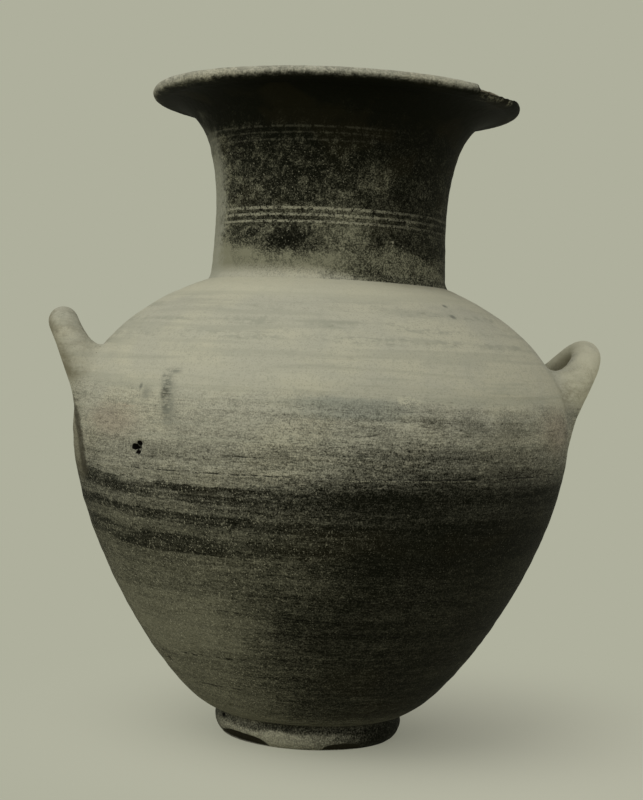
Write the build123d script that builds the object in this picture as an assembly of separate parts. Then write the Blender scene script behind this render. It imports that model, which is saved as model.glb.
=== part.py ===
from build123d import *
from math import cos, pi, radians, sin, sqrt
import os

# A tall storage jar of fired clay: a turned ring foot, a swelling body thrown in two sections,
# a narrow neck, a thick flared lip and two upright loop handles luted to the shoulder.
# Millimetres, +Z up, the origin on the ground at the jar's axis, the handles along X.

# Body, outside, with the height of its widest ring above the ground
belly_height = 286.5
belly_radius = 233.5
base_inset = 1.7
base_spread = 41.7
belly_fullness = 105.8
shoulder_rise = 156.5

# Body, inside
body_wall = 10.0
floor_thickness = 15.0
floor_inset = 14.8
floor_spread = 50.0
cavity_fullness = 100.0

# Ring foot
foot_height = 22.0
foot_contact_radius = 82.0
foot_ground_width = 12.5
foot_bulge = 6.6
foot_bulge_height = 11.5
foot_top_stand = 4.5
foot_bore_taper = 5.0
foot_edge_round = 2.5

# Neck: a nearly straight stem up to its waist, then the trumpet up to the lip's underside
stem_rise = 50.0
flare_rise = 112.0
lip_joint_drop = 17.0
neck_waist_radius = 110.0
neck_base_spread = 1.5
neck_base_ledge = 1.2
neck_base_fall = 6.0
neck_wall = 10.5
flare_lift = 60.0
throat_lift = 72.0

# Lip: the trumpet spreads from the neck's waist to the lip's underside, from which the lip's
# own points are measured outward and inward, and its drops are measured from the jar's top
flare_spread = 53.0
lip_thickness = 14.0
lip_edge_run = 11.0
lip_edge_drop = 6.8
lip_top_run = 5.5
lip_corner_run = 6.5
lip_corner_drop = 12.2
lip_under_run = 43.0
lip_inner_run = 13.0
lip_inner_drop = 2.0
throat_run = 36.0

# Old break along the top edge of the lip
chip_start_angle = -52.0
chip_sweep = 60.0
chip_depth = 6.4
chip_width = 14.0
chip_wall_lean = 3.0
chip_fall = 2.2
chip_scoop_radius = 13.0
chip_scoop_bite = 1.6
chip_scoop_angle_shares = (0.04, 0.24, 0.41, 0.63, 0.8, 0.96)

# Loop handles: one coil, bent alike, the left pulled further up than the right
coil_radius = 14.0
arm_half_span = 42.0
root_rise = 40.9
root_depth = 30.0
root_flare = 19.0
root_flare_across = 13.0
left_root_stand = -2.1
left_reach = 53.5
left_tilt = 65.0
left_lean = 14.5
right_root_stand = 1.4
right_reach = 49.0
right_tilt = 57.0
right_lean = 10.0
arch_steps = 8

# How far a cutting solid runs past what it cuts
overrun = 20.0

# The quarter ellipse of the shoulder, as the middle weight of its rational curve
quarter_weight_share = sqrt(0.5)

# The body springs from the foot's top, and its floor lies inside that
foot_bore_edge_radius = foot_contact_radius - foot_ground_width - foot_edge_round
foot_bore_radius = foot_bore_edge_radius - foot_bore_taper
foot_top_radius = foot_contact_radius + foot_top_stand
base_radius = foot_top_radius - base_inset
floor_radius = base_radius - floor_inset

# The neck stands on a flat ring cut across the shoulder where the shoulder narrows to the neck
neck_base_radius = neck_waist_radius + neck_base_spread
neck_seat_height = belly_height + shoulder_rise * sqrt(1 - (neck_base_radius / belly_radius) ** 2)
neck_waist_height = neck_seat_height + stem_rise
lip_under_height = neck_waist_height + flare_rise
lip_joint_height = lip_under_height - lip_joint_drop
jar_height = lip_under_height + lip_thickness
neck_bore_radius = neck_waist_radius - neck_wall
lip_under_radius = neck_waist_radius + flare_spread
lip_edge_radius = lip_under_radius + lip_edge_run
lip_inner_radius = lip_under_radius - lip_inner_run

# The handles spring from the shoulder's own surface, a little above the widest ring
root_height = belly_height + root_rise
shoulder_radius_at_root = belly_radius * sqrt(1 - (root_rise / shoulder_rise) ** 2)


def turned(*edges):
    """Solid of revolution about the jar's axis, from a closed outline of radius and height."""
    outline = Plane.XZ * make_face(Curve() + list(edges))
    return revolve(outline, Axis.Z)


def level_band(low, high):
    """Everything of the jar that lies between two heights."""
    width = 2 * (belly_radius + root_depth + left_reach + overrun)
    return Pos(0, 0, (low + high) / 2) * Box(width, width, high - low)


def belly_outline(radius, start_radius, start_height, spread, fullness, rise):
    """Flat bottom, round swelling side and elliptical shoulder, closed along the axis."""
    bottom = Line((0, start_height), (start_radius, start_height))
    side = Bezier(
        (start_radius, start_height),
        (start_radius + spread, start_height),
        (radius, belly_height - fullness),
        (radius, belly_height),
    )
    shoulder = Bezier(
        (radius, belly_height),
        (radius, belly_height + rise),
        (0, belly_height + rise),
        weights=[1, quarter_weight_share, 1],
    )
    axis = Line((0, belly_height + rise), (0, start_height))
    return bottom, side, shoulder, axis


def full_body():
    """The body as one lump, used to trim whatever is luted to its outside."""
    return turned(
        *belly_outline(
            belly_radius, base_radius, foot_height, base_spread, belly_fullness, shoulder_rise
        )
    )


def body_cavity():
    """The space that the jar holds, up to the underside of the shoulder."""
    return turned(
        *belly_outline(
            belly_radius - body_wall,
            floor_radius,
            foot_height + floor_thickness,
            floor_spread,
            cavity_fullness,
            shoulder_rise - body_wall,
        )
    )


def make_foot_ring():
    """Turned ring: rounded outside that bulges low down, tapering bore under the floor."""
    outer = ThreePointArc(
        (foot_contact_radius, 0),
        (foot_contact_radius + foot_bulge, foot_bulge_height),
        (foot_top_radius, foot_height),
    )
    top = Line((foot_top_radius, foot_height), (foot_bore_radius, foot_height))
    bore = Line((foot_bore_radius, foot_height), (foot_bore_edge_radius, foot_edge_round))
    ground_edge = (foot_contact_radius - foot_ground_width, 0)
    edge = Line((foot_bore_edge_radius, foot_edge_round), ground_edge)
    ground = Line(ground_edge, (foot_contact_radius, 0))
    return turned(outer, top, bore, edge, ground)


def make_body_sections():
    """Lower bowl and upper section with the shoulder, which meet at the widest ring."""
    shell = full_body() - body_cavity()
    lower = shell & level_band(foot_height, belly_height)
    mouth = Pos(0, 0, neck_seat_height) * Cylinder(neck_bore_radius, jar_height - belly_height)
    upper = (shell & level_band(belly_height, neck_seat_height)) - mouth
    return lower, upper


def mouth_wall():
    """Neck and lip in one outline: ledge, straight bore, trumpet flare and thick edge."""
    corner = (lip_under_radius + lip_corner_run, jar_height - lip_corner_drop)
    lip_top_radius = lip_under_radius + lip_top_run
    inner_height = jar_height - lip_inner_drop
    ledge_radius = neck_base_radius + neck_base_ledge
    fall_height = neck_seat_height + neck_base_fall
    ledge = Line((neck_bore_radius, neck_seat_height), (ledge_radius, neck_seat_height))
    foot = Line((ledge_radius, neck_seat_height), (neck_base_radius, fall_height))
    stem = Line((neck_base_radius, fall_height), (neck_waist_radius, neck_waist_height))
    flare = Bezier(
        (neck_waist_radius, neck_waist_height),
        (neck_waist_radius, neck_waist_height + flare_lift),
        (lip_under_radius - lip_under_run, lip_under_height),
        (lip_under_radius, lip_under_height),
    )
    under = Line((lip_under_radius, lip_under_height), corner)
    edge = ThreePointArc(
        corner,
        (lip_edge_radius, jar_height - lip_edge_drop),
        (lip_top_radius, jar_height),
    )
    top = Line((lip_top_radius, jar_height), (lip_inner_radius, inner_height))
    throat = Bezier(
        (lip_inner_radius, inner_height),
        (lip_inner_radius - throat_run, inner_height),
        (neck_bore_radius, neck_waist_height + throat_lift),
        (neck_bore_radius, neck_waist_height),
    )
    bore = Line((neck_bore_radius, neck_waist_height), (neck_bore_radius, neck_seat_height))
    return turned(ledge, foot, stem, flare, under, edge, top, throat, bore)


def chip_cutter():
    """Long flake out of the lip's top edge, with shallow shell-shaped bites along its floor."""
    inner = lip_edge_radius - chip_width
    outer = lip_edge_radius + overrun
    floor_height = jar_height - chip_depth
    section = Polyline(
        (inner, jar_height),
        (inner + chip_wall_lean, floor_height),
        (outer, floor_height - chip_fall),
        (outer, jar_height + overrun),
        (inner, jar_height + overrun),
        close=True,
    )
    flake = revolve(Plane.XZ * make_face(section), Axis.Z, revolution_arc=chip_sweep)
    centre_height = floor_height + chip_scoop_radius - chip_scoop_bite
    for share in chip_scoop_angle_shares:
        place = Rot(0, 0, chip_sweep * share) * Pos(lip_edge_radius, 0, centre_height)
        flake += place * Sphere(chip_scoop_radius)
    return Rot(0, 0, chip_start_angle) * flake


def make_neck_and_rim():
    """Neck up to the start of the trumpet, and the flared lip above it with its chip."""
    wall = mouth_wall()
    neck = wall & level_band(neck_seat_height, lip_joint_height)
    rim = (wall & level_band(lip_joint_height, jar_height + overrun)) - chip_cutter()
    return neck, rim


def make_handle(side, root_stand, reach, tilt, lean, body):
    """Loop of round coil whose arms swell and lean into the shoulder where they are luted.

    The centreline is half an ellipse in a tilted plane, run straight on into the body. Each
    section is an ellipse square to it, and grows with the square of its distance from the top.
    """
    angle = radians(tilt)
    along = Vector(side * cos(angle), 0, sin(angle))
    outward = Vector(side * sin(angle), 0, -cos(angle))
    across = Vector(0, 1, 0)
    root = Vector(side * (shoulder_radius_at_root + root_stand), 0, root_height)

    def section(distance, offset, direction):
        growth = ((reach - distance) / (reach + root_depth)) ** 2
        centre = root + along * distance + across * offset - outward * (lean * growth)
        plane = Plane(origin=centre, x_dir=outward, z_dir=direction)
        return plane * Ellipse(coil_radius + root_flare * growth, coil_radius + root_flare_across * growth)

    sections = [section(-root_depth, arm_half_span, along)]
    for step in range(arch_steps + 1):
        turn = pi * step / arch_steps
        direction = along * (reach * cos(turn)) - across * (arm_half_span * sin(turn))
        sections.append(section(reach * sin(turn), arm_half_span * cos(turn), direction))
    sections.append(section(-root_depth, -arm_half_span, -along))
    return loft(sections) - body


def main():
    body = full_body()
    lower_body, upper_body = make_body_sections()
    neck, rim = make_neck_and_rim()
    nodes = {
        "foot_ring": make_foot_ring(),
        "lower_body": lower_body,
        "upper_body": upper_body,
        "neck": neck,
        "rim": rim,
        "handle_left": make_handle(-1, left_root_stand, left_reach, left_tilt, left_lean, body),
        "handle_right": make_handle(1, right_root_stand, right_reach, right_tilt, right_lean, body),
    }
    os.makedirs("parts", exist_ok=True)
    for name, shape in nodes.items():
        shape.label = name
        export_step(shape, os.path.join("parts", name + ".step"))


main()
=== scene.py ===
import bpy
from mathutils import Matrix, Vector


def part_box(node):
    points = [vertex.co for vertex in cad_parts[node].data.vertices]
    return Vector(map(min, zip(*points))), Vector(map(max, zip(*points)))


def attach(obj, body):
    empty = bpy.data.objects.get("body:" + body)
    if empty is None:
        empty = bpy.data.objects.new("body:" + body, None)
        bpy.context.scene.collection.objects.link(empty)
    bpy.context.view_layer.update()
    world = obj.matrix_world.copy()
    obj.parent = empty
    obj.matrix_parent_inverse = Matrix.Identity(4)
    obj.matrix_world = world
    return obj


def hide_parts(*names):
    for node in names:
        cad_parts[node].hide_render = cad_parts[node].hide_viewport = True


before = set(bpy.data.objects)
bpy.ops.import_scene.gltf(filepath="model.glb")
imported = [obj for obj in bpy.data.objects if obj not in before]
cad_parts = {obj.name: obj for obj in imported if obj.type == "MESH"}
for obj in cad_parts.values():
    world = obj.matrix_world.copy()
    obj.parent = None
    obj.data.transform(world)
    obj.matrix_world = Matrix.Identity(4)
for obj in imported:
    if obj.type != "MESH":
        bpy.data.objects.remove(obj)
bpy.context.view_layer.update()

from functools import reduce
from math import cos, pi, radians, sin, sqrt
from operator import or_

import bpy
import numpy as np
from mathutils import Matrix

# A tall storage jar of fired clay: pale wash on the shoulder, dark slip on neck, rim and lower
# body. Sizes are in millimetres, heights above the ground. A bearing is the angle round the jar
# in degrees, from the front (-Y) towards the right (+X).
MM = 0.001

# Heights where the sections of the jar meet, from the frame
FOOT_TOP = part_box("foot_ring")[1].z / MM
BELLY_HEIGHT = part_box("lower_body")[1].z / MM
NECK_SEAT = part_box("neck")[0].z / MM
RIM_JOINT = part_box("rim")[0].z / MM
JAR_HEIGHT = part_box("rim")[1].z / MM

# Body
BELLY_RADIUS = 233.5
BASE_RADIUS = 84.8
BASE_SPREAD = 41.7
BELLY_FULLNESS = 105.8
SHOULDER_RISE = 156.5
BODY_WALL = 10.0
FLOOR_THICKNESS = 15.0
FLOOR_RADIUS = 70.0
FLOOR_SPREAD = 50.0
CAVITY_FULLNESS = 100.0

# Ring foot
FOOT_CONTACT_RADIUS = 82.0
FOOT_GROUND_WIDTH = 12.5
FOOT_BULGE = 6.6
FOOT_BULGE_HEIGHT = 11.5
FOOT_TOP_RADIUS = 86.5
FOOT_BORE_RADIUS = 62.0
FOOT_BORE_TAPER = 5.0
FOOT_EDGE_ROUND = 2.5
FOOT_COVE_FALL = 2.5
FOOT_COVE_RUN = 6.5
FOOT_COVE_RISE = 2.0

# Neck and lip
NECK_WAIST = 110.0
NECK_BASE_SPREAD = 1.5
NECK_LEDGE = 1.2
NECK_LEDGE_FALL = 6.0
COVE_RUN = 4.5
COVE_DROP = 3.2
NECK_WALL = 10.5
STEM_RISE = 50.0
FLARE_LIFT = 60.0
THROAT_LIFT = 72.0
LIP_THICKNESS = 14.0
LIP_UNDER_RADIUS = 163.0
LIP_UNDER_RUN = 43.0
LIP_CORNER_RUN = 6.5
LIP_CORNER_DROP = 12.2
LIP_EDGE_RADIUS = 174.0
LIP_EDGE_DROP = 6.8
LIP_TOP_RUN = 5.5
LIP_INNER_RUN = 13.0
LIP_INNER_DROP = 2.0
THROAT_RUN = 36.0

# Old break along the lip's top edge, from one bearing to another
CHIP_START = 38.0
CHIP_END = 98.0
CHIP_DEPTH = 5.2
CHIP_WIDTH = 14.0
CHIP_WANDER = 1.6
CHIP_WALL_LEAN = 3.0
CHIP_FALL = 2.2
CHIP_BITE = 2.2
CHIP_GRIT = 0.5
CHIP_LUMP = 0.35
CHIP_FRAY = 0.8
CHIP_START_RUN = 0.6
CHIP_END_RUN = 3.6
CHIP_SHALLOW_FROM = 46.0
CHIP_SHALLOW_TO = 84.0
CHIP_SHALLOWING = 0.95
BITE_SHALLOWING = 0.7

# Loop handles
COIL_RADIUS = 14.0
ARM_HALF_SPAN = 42.0
ROOT_RISE = 40.9
ROOT_DEPTH = 30.0
ROOT_FLARE = 19.0
ROOT_FLARE_ACROSS = 13.0
ROOT_SHOWN_DEPTH = 24.0
ROOT_COVER = 4.0

# Wet clay smeared from a handle's root onto the shoulder
SMEAR = 15.0
SMEAR_LAP = 5.0
SMEAR_ROUNDS = 12
SMEAR_SINK = 0.12
SMEAR_SEAM = 2.0

# How finely the pieces are cut
BODY_SEGMENTS = 576
NECK_SEGMENTS = 512
RIM_SEGMENTS = 768
FOOT_SEGMENTS = 640
CURVE_STEPS = 600
COIL_SIDES = 128
COIL_GAP = 0.85
SHARP_ANGLE = 42.0

# How much of the weathering a face has: slipped outside, bare thrown inside, hidden in a joint
OUTER, INNER, HIDDEN = 1, 0.5, 0

# Relief of the fired clay, all cut inward from the true surface, as the depth and size of each
# layer: rings left by the thrower's fingers, finer rings, slow lumps and grain
BODY_RELIEF = (
    (0.55, (260, 260, 9)),
    (0.3, (150, 150, 3.4)),
    (0.9, (95, 95, 60)),
    (0.25, (5, 5, 4)),
)
COIL_RELIEF = ((0.9, (26, 26, 22)), (0.25, (5, 5, 5)))
PIT_RAGGEDNESS = 0.35

LOWER_SIDE = (
    (BASE_RADIUS, FOOT_TOP),
    (BASE_RADIUS + BASE_SPREAD, FOOT_TOP),
    (BELLY_RADIUS, BELLY_HEIGHT - BELLY_FULLNESS),
    (BELLY_RADIUS, BELLY_HEIGHT),
)


def lattice_noise(points, size, seed):
    """Smooth noise from -1 to 1: every corner of a cubic lattice of the given sizes gets a random
    value, and each cell blends its eight corners by the smooth step 3t^2 - 2t^3 along each axis."""
    table = np.random.default_rng(seed).uniform(-1, 1, (32, 32, 32))
    scaled = points / np.array(size, float)
    cell = np.floor(scaled).astype(int)
    share = scaled - cell
    share = share * share * (3 - 2 * share)
    total = np.zeros(points.shape[:-1])
    for corner in np.ndindex(2, 2, 2):
        index = (cell + corner) % 32
        weight = np.prod(np.where(corner, share, 1 - share), axis=-1)
        total += weight * table[index[..., 0], index[..., 1], index[..., 2]]
    return total


def uneven(points, layers, seed):
    """Depth of layers of noise: each layer's depth times (1 + noise) / 2, added up."""
    return sum(
        depth * (1 + lattice_noise(points, size, seed + layer)) / 2
        for layer, (depth, size) in enumerate(layers)
    )


def smooth_step(value, low, high):
    """0 below low and 1 above high, with 3t^2 - 2t^3 between."""
    share = np.clip((value - low) / (high - low), 0, 1)
    return share * share * (3 - 2 * share)


def curve(*points):
    """Bezier curve of radius and height through its end points, by repeated linear blending."""
    share = np.linspace(0, 1, CURVE_STEPS)[:, None]
    rows = [np.array(point, float) for point in points]
    while len(rows) > 1:
        rows = [(1 - share) * low + share * high for low, high in zip(rows, rows[1:])]
    return rows[0]


def arc(start, middle, end):
    """Circle arc through three points of radius and height, on the circle round their centre."""
    a, b, c = complex(*start), complex(*middle), complex(*end)
    turn = (c - a) / (b - a)
    centre = a - (a - b) * (turn - abs(turn) ** 2) / (2j * turn.imag)
    ends = np.unwrap(np.angle(np.array([a, b, c]) - centre))
    angles = np.linspace(ends[0], ends[2], CURVE_STEPS)
    path = centre + abs(a - centre) * np.exp(1j * angles)
    return np.stack([path.real, path.imag], axis=1)


def shoulder(radius, rise, end_radius):
    """Quarter ellipse from the widest ring inward: radius cos t, and height plus rise sin t."""
    angles = np.linspace(0, np.arccos(end_radius / radius), CURVE_STEPS)
    return np.stack([radius * np.cos(angles), BELLY_HEIGHT + rise * np.sin(angles)], axis=1)


def spaced(path, gap):
    """Rows evenly spaced along a path, about a gap apart."""
    steps = np.hypot(*np.diff(path, axis=0).T)
    length = np.concatenate([[0], np.cumsum(steps)])
    places = np.linspace(0, length[-1], max(2, round(length[-1] / gap) + 1))
    return np.stack([np.interp(places, length, path[:, side]) for side in (0, 1)], axis=1)


def outline(*stretches):
    """Joins stretches of (path, gap, cover) into rows of radius, height, outward normal and cover.
    Where two stretches meet, the row takes the normal of the more covered one."""
    rows = []
    for path, gap, cover in stretches:
        even = spaced(path, gap)
        slope = np.gradient(even, axis=0)
        slope /= np.hypot(slope[:, 0], slope[:, 1])[:, None]
        part = [
            (radius, height, rise, -run, cover)
            for (radius, height), (run, rise) in zip(even, slope)
        ]
        if rows and rows[-1][-1] >= cover:
            part = part[1:]
        elif rows:
            rows.pop()
        rows += part
    if abs(rows[0][0] - rows[-1][0]) + abs(rows[0][1] - rows[-1][1]) < MM:
        rows.pop(0 if rows[-1][-1] > rows[0][-1] else -1)
    return np.array(rows)


def on_jar(bearing, radius, height):
    """The point (radius sin b, -radius cos b, height) at a bearing b round the axis."""
    turn = np.radians(bearing)
    return np.stack(np.broadcast_arrays(radius * np.sin(turn), -radius * np.cos(turn), height), -1)


def bearing_of(points):
    return np.degrees(np.arctan2(points[..., 0], -points[..., 1]))


WALL = np.concatenate(
    [curve(*LOWER_SIDE), shoulder(BELLY_RADIUS, SHOULDER_RISE, NECK_WAIST + NECK_BASE_SPREAD)]
)
WALL_SLOPE = np.gradient(WALL[:, 0]) / np.maximum(np.gradient(WALL[:, 1]), MM)
WALL_LEAN = 1 / np.sqrt(1 + WALL_SLOPE**2)


def wall_point(bearing, height):
    """The point of the body's outside at a bearing and height."""
    return on_jar(bearing, np.interp(height, WALL[:, 1], WALL[:, 0]), height)


# Holes left by burnt-out grit and later knocks: bearing, height, width and depth
PITS = (
    (-49.5, 269.8, 3.6, 4.0),
    (-48.8, 273.2, 2.4, 3.0),
    (-49.3, 266.4, 2.4, 3.0),
    (-13.2, 394.0, 2.4, 1.3),
    (-28.8, 356.3, 1.8, 1.2),
    (-63.0, 339.6, 1.8, 1.2),
    (-1.8, 352.7, 1.8, 1.2),
    (9.0, 303.6, 2.4, 1.4),
    (0.5, 297.0, 2.2, 1.0),
    (-72.0, 20.0, 2.8, 2.4),
    (-43.8, 38.4, 2.2, 2.0),
    (-19.0, 146.0, 2.6, 1.6),
    (-68.0, 74.0, 5.0, 1.6),
    (118.0, 301.0, 3.4, 2.2),
    (163.0, 352.0, 2.4, 1.4),
    (-141.0, 246.0, 3.0, 2.0),
    (171.0, 128.0, 3.0, 2.0),
)


def relief(points):
    """How far the fired clay lies inside the turned surface: the body's layers of noise, and for
    each pit its depth times exp(-(distance / width)^4), the distance made ragged by noise."""
    depth = uneven(points, BODY_RELIEF, 1)
    ragged = 1 + PIT_RAGGEDNESS * lattice_noise(points, (2.6, 2.6, 2.6), 5)
    for bearing, height, width, pit_depth in PITS:
        far = np.linalg.norm(points - wall_point(bearing, height), axis=-1) * ragged
        depth += pit_depth * np.exp(-((far / width) ** 4))
    return depth


def put_in_scene(name, data):
    """Puts a mesh, lamp or camera into the scene as an object at the origin."""
    made = bpy.data.objects.new(name, data)
    bpy.context.collection.objects.link(made)
    return made


def mesh_piece(name, points, faces, node, finish, marks=()):
    """Makes a piece from points in millimetres and a list of faces, with a number per point for
    each mark, and gives it its place in the frame."""
    mesh = bpy.data.meshes.new(name)
    mesh.from_pydata((points * MM).tolist(), [], faces)
    for mark, values in marks:
        mesh.attributes.new(mark, "FLOAT", "POINT").data.foreach_set("value", values)
    mesh.shade_smooth()
    mesh.set_sharp_from_angle(angle=radians(SHARP_ANGLE))
    mesh.materials.append(finish)
    piece = put_in_scene(name, mesh)
    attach(piece, "root")
    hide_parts(node)


def grid_faces(rows, columns, closed_rows=False):
    """Four-sided faces of a grid whose columns run round, with the rows open or closed."""
    row = np.arange(rows if closed_rows else rows - 1)[:, None]
    column = np.arange(columns)[None, :]
    near, far = row * columns, (row + 1) % rows * columns
    beside = (column + 1) % columns
    return np.stack([near + column, near + beside, far + beside, far + column], -1).reshape(-1, 4)


def fan(edge, count, tip, turned_over):
    """Triangles from a ring of count points, the first of them at edge, to a tip."""
    ring = edge + np.arange(count)
    pair = (ring, np.roll(ring, -1))[:: -1 if turned_over else 1]
    return np.stack([*pair, np.full(count, tip)], -1).tolist()


def turned(name, rows, segments, node, finish, shape=None):
    """Turns an outline about the axis: the point of row i at bearing b is (r sin b, -r cos b, z),
    less the relief along the outline's normal. Rows on the axis become a pole. The shape function
    then moves the points and may give marks."""
    poles = [index for index in (0, len(rows) - 1) if rows[index, 0] < MM]
    keep = np.array([index not in poles for index in range(len(rows))])
    ring = rows[keep]
    bearings = np.arange(segments) * (360 / segments)
    true = on_jar(bearings[None, :], ring[:, 0:1], ring[:, 1:2])
    normal = on_jar(bearings[None, :], ring[:, 2:3], ring[:, 3:4])
    cover = np.repeat(ring[:, 4:5], segments, axis=1)
    points = true - normal * (relief(true) * cover)[..., None]
    marks = [("inside", np.where(cover < 1, 1.0, 0.0))]
    if shape:
        points, more = shape(points, true, normal, cover)
        marks += more
    faces = grid_faces(len(ring), segments, not poles).tolist()
    points = points.reshape(-1, 3)
    marks = [(mark, values.ravel()) for mark, values in marks]
    for pole in poles:
        edge = 0 if pole == 0 else (len(ring) - 1) * segments
        faces += fan(edge, segments, len(points), pole == 0)
        points = np.concatenate([points, [[0, 0, rows[pole, 1]]]])
        marks = [(mark, np.append(values, 1.0)) for mark, values in marks]
    mesh_piece(name, points, faces, node, finish, marks)


class Loop:
    """A loop handle's run: stations of centre, outward and sideways axes and half thicknesses.

    The centreline is half an ellipse in a tilted plane, run straight on into the body at both
    ends. The coil swells and leans inward with the square of its distance from the loop's top.
    """

    def __init__(self, side, root_stand, reach, tilt, lean):
        angle = radians(tilt)
        along = np.array([side * cos(angle), 0, sin(angle)])
        outward = np.array([side * sin(angle), 0, -cos(angle)])
        across = np.array([0.0, 1.0, 0.0])
        root_radius = BELLY_RADIUS * sqrt(1 - (ROOT_RISE / SHOULDER_RISE) ** 2)
        root = np.array([side * (root_radius + root_stand), 0, BELLY_HEIGHT + ROOT_RISE])
        arm = np.arange(-ROOT_SHOWN_DEPTH, 0, COIL_GAP)
        turn = np.linspace(0, pi, round(pi * (reach + ARM_HALF_SPAN) / 2 / COIL_GAP))
        distance = np.concatenate([arm, reach * np.sin(turn), arm[::-1]])
        span = np.full(len(arm), ARM_HALF_SPAN)
        offset = np.concatenate([span, ARM_HALF_SPAN * np.cos(turn), -span])
        growth = ((reach - distance) / (reach + ROOT_DEPTH)) ** 2
        self.centre = root + distance[:, None] * along + offset[:, None] * across
        self.centre -= (lean * growth)[:, None] * outward
        ahead = np.gradient(distance)[:, None] * along + np.gradient(offset)[:, None] * across
        ahead /= np.linalg.norm(ahead, axis=1)[:, None]
        self.outward = np.broadcast_to(outward, ahead.shape)
        self.sideways = np.cross(ahead, outward)
        self.thick = COIL_RADIUS + ROOT_FLARE * growth
        self.wide = COIL_RADIUS + ROOT_FLARE_ACROSS * growth

    def distance(self, points):
        """Distance outside the coil: the distance to the nearest station's centre less the radius
        of that station's ellipse in the same direction."""
        best = np.full(len(points), np.inf)
        station = np.zeros(len(points), int)
        for index in range(0, len(self.centre), 2):
            far = ((points - self.centre[index]) ** 2).sum(1)
            station = np.where(far < best, index, station)
            best = np.minimum(best, far)
        away = points - self.centre[station]
        outward = (away * self.outward[station]).sum(1) / self.thick[station]
        sideways = (away * self.sideways[station]).sum(1) / self.wide[station]
        share = np.maximum(np.hypot(outward, sideways), MM)
        return np.sqrt(best) * (1 - 1 / share)


def outside_wall(points):
    """Distance outside the body: radius less the wall's, times the cosine of the wall's slope."""
    radius = np.hypot(points[..., 0], points[..., 1])
    wall = np.interp(points[..., 2], WALL[:, 1], WALL[:, 0])
    return (radius - wall) * np.interp(points[..., 2], WALL[:, 1], WALL_LEAN)


def wall_normal(points):
    """Direction straight out of the body's wall at each point's height and bearing: the radial
    direction less the wall's slope upward, times the cosine of the slope."""
    slope = np.interp(points[..., 2], WALL[:, 1], WALL_SLOPE)[..., None]
    radial = points * np.array([1, 1, 0])
    radial /= np.linalg.norm(radial, axis=-1)[..., None]
    return (radial - slope * np.array([0, 0, 1])) / np.sqrt(1 + slope**2)


def smeared(points, ways, loop):
    """How far points go along their ways to lie on the joined surface of wall and coil, whose
    distance is the smaller one less k h^2 / 4, with h = 1 - |difference| / k where positive.

    Returns that travel and how much further the wall is than the coil there.
    """
    travel = np.zeros(len(points))
    for _ in range(SMEAR_ROUNDS):
        here = points + ways * travel[:, None]
        wall, coil = outside_wall(here), loop.distance(here)
        near = np.maximum(1 - np.abs(wall - coil) / SMEAR, 0)
        joined = np.minimum(wall, coil) - SMEAR * near**2 / 4
        travel = np.clip(travel - joined, 0, SMEAR)
    return travel, wall - coil


# The two handles: side, stand of the root off the wall, reach, tilt in degrees and lean
LEFT_LOOP = Loop(-1, -2.1, 53.5, 65.0, 14.5)
RIGHT_LOOP = Loop(1, 1.4, 49.0, 57.0, 10.0)


def smear_onto_body(points, true, normal, cover):
    """Raises the body's outside where a handle's root is smeared onto it."""
    flat, start, ways = points.reshape(-1, 3), true.reshape(-1, 3), normal.reshape(-1, 3)
    outside = cover.ravel() == 1
    for loop in (LEFT_LOOP, RIGHT_LOOP):
        low, high = loop.centre.min(0) - 3 * SMEAR, loop.centre.max(0) + 3 * SMEAR
        near = outside & (start > low).all(1) & (start < high).all(1)
        travel, apart = smeared(start[near], ways[near], loop)
        travel *= smooth_step(apart, 2 * SMEAR_LAP, SMEAR_LAP)
        travel -= SMEAR_SINK * smooth_step(apart, -SMEAR_SEAM, SMEAR_SEAM)
        flat[near] += ways[near] * travel[:, None]
    return points, []


def handle(name, loop, finish):
    """Coil of the loop: centre plus outward t cos a plus sideways w sin a at each station, grown
    to the smeared surface near the wall, and closed by a flat end inside the wall."""
    angle = np.linspace(0, 2 * pi, COIL_SIDES, endpoint=False)
    spoke = (
        (loop.thick[:, None] * np.cos(angle))[..., None] * loop.outward[:, None]
        + (loop.wide[:, None] * np.sin(angle))[..., None] * loop.sideways[:, None]
    )
    start = (loop.centre[:, None] + spoke).reshape(-1, 3)
    ways = (spoke / np.linalg.norm(spoke, axis=-1)[..., None]).reshape(-1, 3)
    near = outside_wall(start) < SMEAR
    travel = np.zeros(len(start))
    grown, apart = smeared(start[near], ways[near], loop)
    travel[near] = grown * smooth_step(apart, -2 * SMEAR_LAP, -SMEAR_LAP)
    travel[near] -= SMEAR_SINK * smooth_step(apart, SMEAR_SEAM, -SMEAR_SEAM)
    worn = uneven(start, COIL_RELIEF, 7)
    points = start + ways * travel[:, None]
    clear = smooth_step(outside_wall(points), 0, SMEAR)
    out = wall_normal(points)
    foot = points - out * outside_wall(points)[:, None]
    points -= ways * (worn * clear)[:, None] + out * (relief(foot) * (1 - clear))[:, None]
    deep = np.minimum(outside_wall(points) + ROOT_COVER, 0)
    points -= out * deep[:, None]
    rows = len(loop.centre)
    faces = grid_faces(rows, COIL_SIDES).tolist()
    for edge in (0, (rows - 1) * COIL_SIDES):
        faces += fan(edge, COIL_SIDES, len(points), edge == 0)
        points = np.concatenate([points, [points[edge : edge + COIL_SIDES].mean(0)]])
    marks = [("inside", np.zeros(len(points)))]
    mesh_piece(name, points, faces, name, finish, marks)


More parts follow.
